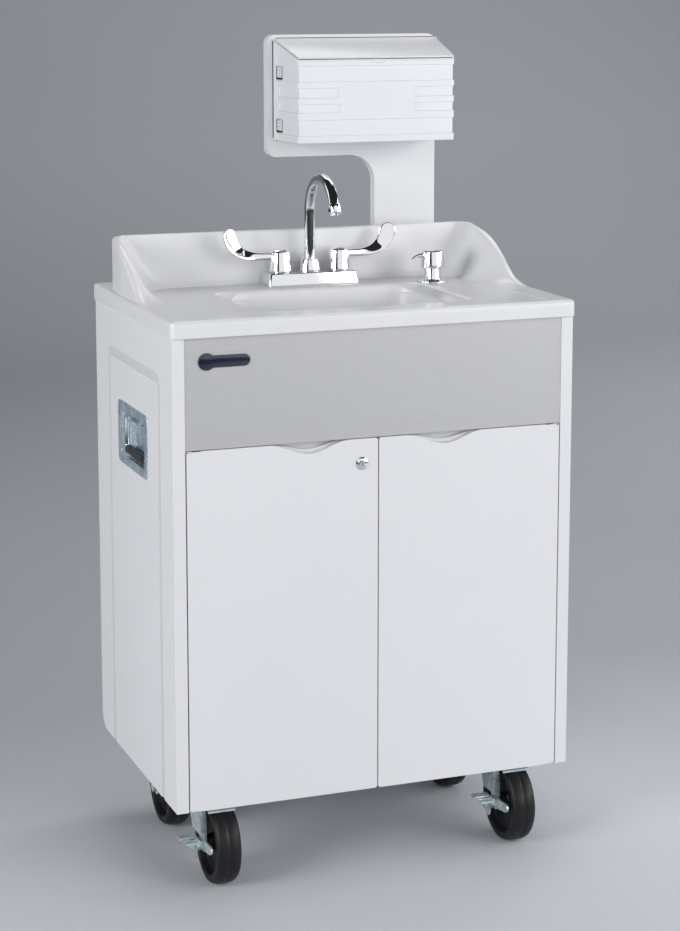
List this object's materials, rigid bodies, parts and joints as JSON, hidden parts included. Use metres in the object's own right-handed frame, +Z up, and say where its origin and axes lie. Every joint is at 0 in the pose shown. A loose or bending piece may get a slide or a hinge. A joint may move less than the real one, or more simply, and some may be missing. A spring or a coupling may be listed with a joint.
{
  "type": "portable sink",
  "caption": "White hand-wash cabinet on swivel casters with a moulded basin top, splash, gooseneck faucet with wrist blades, soap pump and a folded-towel box on a rear board.",
  "frame": {"origin": "on the floor under the middle of the whole outline", "axes": "+Z up, the doors face -Y, +X to the right as seen from the front"},
  "size_m": [0.65, 0.4864, 1.2755],
  "materials": {
    "cabinet_laminate": "satin laminate",
    "moulded_top": "soft sheen",
    "brushed_steel": "horizontal brushing",
    "chrome": "polished",
    "box_plastic": "fine sheen",
    "soap_plastic": "milky",
    "grip_rubber": "matte",
    "zinc": "zinc plate",
    "wheel_rubber": "semi-matte",
    "brass": "machined",
    "tank_plastic": "translucent moulded",
    "cap_plastic": "matte",
    "pump_metal": "satin",
    "heater_jacket": "satin"
  },
  "bodies": {
    "frame": {"left_side_panel": "cabinet_laminate", "right_side_panel": "cabinet_laminate", "tower_board": "cabinet_laminate", "back_panel": "cabinet_laminate", "base_panel": "cabinet_laminate", "apron_board": "cabinet_laminate", "equipment_shelf": "cabinet_laminate", "countertop": "moulded_top", "steel_apron": "brushed_steel", "left_handle_dish": "brushed_steel", "right_handle_dish": "brushed_steel", "tower_spacers": "brushed_steel", "faucet_plate": "chrome", "spout_collar": "chrome", "soap_collar": "chrome", "basin_drain": "chrome", "towel_box": "box_plastic", "towel_box_clips": "box_plastic", "soap_bottle": "soap_plastic", "hoses": "grip_rubber", "caster_plates": "zinc", "mounting_bolts": "zinc", "door_pivots": "zinc", "faucet_shanks": "brass", "fresh_tank": "tank_plastic", "waste_tank": "tank_plastic", "tank_caps": "cap_plastic", "power_inlet": "cap_plastic", "door_catches": "cap_plastic", "pump": "pump_metal", "water_heater": "heater_jacket"},
    "left_door": {"left_door": "cabinet_laminate", "lock_barrel": "chrome"},
    "right_door": {"right_door": "cabinet_laminate"},
    "lock": {"lock_plug": "chrome"},
    "hot_handle": {"hot_handle": "chrome"},
    "cold_handle": {"cold_handle": "chrome"},
    "spout": {"gooseneck": "chrome", "aerator": "chrome"},
    "soap_piston": {"soap_piston": "chrome"},
    "soap_head": {"soap_head": "chrome"},
    "towel_lid": {"towel_box_lid": "box_plastic"},
    "left_bail": {"left_handle_bail": "chrome", "left_handle_grip": "grip_rubber"},
    "right_bail": {"right_handle_bail": "chrome", "right_handle_grip": "grip_rubber"},
    "front_left_caster": {"front_left_fork": "zinc", "front_left_axle": "zinc"},
    "front_left_wheel": {"front_left_wheel": "wheel_rubber"},
    "front_left_brake": {"front_left_brake": "zinc"},
    "front_right_caster": {"front_right_fork": "zinc", "front_right_axle": "zinc"},
    "front_right_wheel": {"front_right_wheel": "wheel_rubber"},
    "front_right_brake": {"front_right_brake": "zinc"},
    "rear_left_caster": {"rear_left_fork": "zinc", "rear_left_axle": "zinc"},
    "rear_left_wheel": {"rear_left_wheel": "wheel_rubber"},
    "rear_right_caster": {"rear_right_fork": "zinc", "rear_right_axle": "zinc"},
    "rear_right_wheel": {"rear_right_wheel": "wheel_rubber"}
  },
  "joints": [
    {"name": "left_door_hinge", "type": "hinge", "parent": "frame", "child": "left_door", "pos_m": [-0.2965, -0.22025, 0.4], "axis": [0, 0, -1], "range_deg": [0, 105]},
    {"name": "right_door_hinge", "type": "hinge", "parent": "frame", "child": "right_door", "pos_m": [0.2965, -0.22025, 0.4], "axis": [0, 0, 1], "range_deg": [0, 105]},
    {"name": "lock_turn", "type": "hinge", "parent": "left_door", "child": "lock", "pos_m": [-0.027, -0.22475, 0.646], "axis": [0, -1, 0], "range_deg": [0, 90]},
    {"name": "hot_handle_turn", "type": "hinge", "parent": "frame", "child": "hot_handle", "pos_m": [-0.0408, 0.10625, 0.91], "axis": [0, 0, 1], "range_deg": [0, 90]},
    {"name": "cold_handle_turn", "type": "hinge", "parent": "frame", "child": "cold_handle", "pos_m": [0.0608, 0.10625, 0.91], "axis": [0, 0, -1], "range_deg": [0, 90]},
    {"name": "spout_swivel", "type": "hinge", "parent": "frame", "child": "spout", "pos_m": [0.01, 0.10625, 0.91], "axis": [0, 0, 1], "range_deg": [-60, 60]},
    {"name": "soap_pump_slide", "type": "slide", "parent": "frame", "child": "soap_piston", "axis": [0, 0, -1], "range_m": [0, 0.012], "stiffness_N_per_m": 250, "springref_m": -0.008},
    {"name": "soap_head_turn", "type": "hinge", "parent": "soap_piston", "child": "soap_head", "pos_m": [0.209, 0.06125, 0.91], "axis": [0, 0, 1], "continuous": true},
    {"name": "towel_lid_hinge", "type": "hinge", "parent": "frame", "child": "towel_lid", "pos_m": [0.1345, 0.21915, 1.2662], "axis": [-1, 0, 0], "range_deg": [0, 100]},
    {"name": "left_bail_swing", "type": "hinge", "parent": "frame", "child": "left_bail", "pos_m": [-0.318, -0.00975, 0.691], "axis": [0, 1, 0], "range_deg": [0, 90], "stiffness_Nm_per_rad": 0.3},
    {"name": "right_bail_swing", "type": "hinge", "parent": "frame", "child": "right_bail", "pos_m": [0.318, -0.00975, 0.691], "axis": [0, -1, 0], "range_deg": [0, 90], "stiffness_Nm_per_rad": 0.3},
    {"name": "front_left_swivel", "type": "hinge", "parent": "frame", "child": "front_left_caster", "pos_m": [-0.245, -0.14475, 0.145], "axis": [0, 0, 1], "continuous": true},
    {"name": "front_left_wheel_spin", "type": "hinge", "parent": "front_left_caster", "child": "front_left_wheel", "pos_m": [-0.245, -0.17975, 0.0635], "axis": [1, 0, 0], "continuous": true},
    {"name": "front_left_brake_tip", "type": "hinge", "parent": "front_left_caster", "child": "front_left_brake", "pos_m": [-0.245, -0.17975, 0.0635], "axis": [-1, 0, 0], "range_deg": [0, 20]},
    {"name": "front_right_swivel", "type": "hinge", "parent": "frame", "child": "front_right_caster", "pos_m": [0.245, -0.14475, 0.145], "axis": [0, 0, 1], "continuous": true},
    {"name": "front_right_wheel_spin", "type": "hinge", "parent": "front_right_caster", "child": "front_right_wheel", "pos_m": [0.245, -0.17975, 0.0635], "axis": [1, 0, 0], "continuous": true},
    {"name": "front_right_brake_tip", "type": "hinge", "parent": "front_right_caster", "child": "front_right_brake", "pos_m": [0.245, -0.17975, 0.0635], "axis": [-1, 0, 0], "range_deg": [0, 20]},
    {"name": "rear_left_swivel", "type": "hinge", "parent": "frame", "child": "rear_left_caster", "pos_m": [-0.245, 0.11225, 0.145], "axis": [0, 0, 1], "continuous": true},
    {"name": "rear_left_wheel_spin", "type": "hinge", "parent": "rear_left_caster", "child": "rear_left_wheel", "pos_m": [-0.245, 0.07725, 0.0635], "axis": [1, 0, 0], "continuous": true},
    {"name": "rear_right_swivel", "type": "hinge", "parent": "frame", "child": "rear_right_caster", "pos_m": [0.245, 0.11225, 0.145], "axis": [0, 0, 1], "continuous": true},
    {"name": "rear_right_wheel_spin", "type": "hinge", "parent": "rear_right_caster", "child": "rear_right_wheel", "pos_m": [0.245, 0.07725, 0.0635], "axis": [1, 0, 0], "continuous": true}
  ]
}
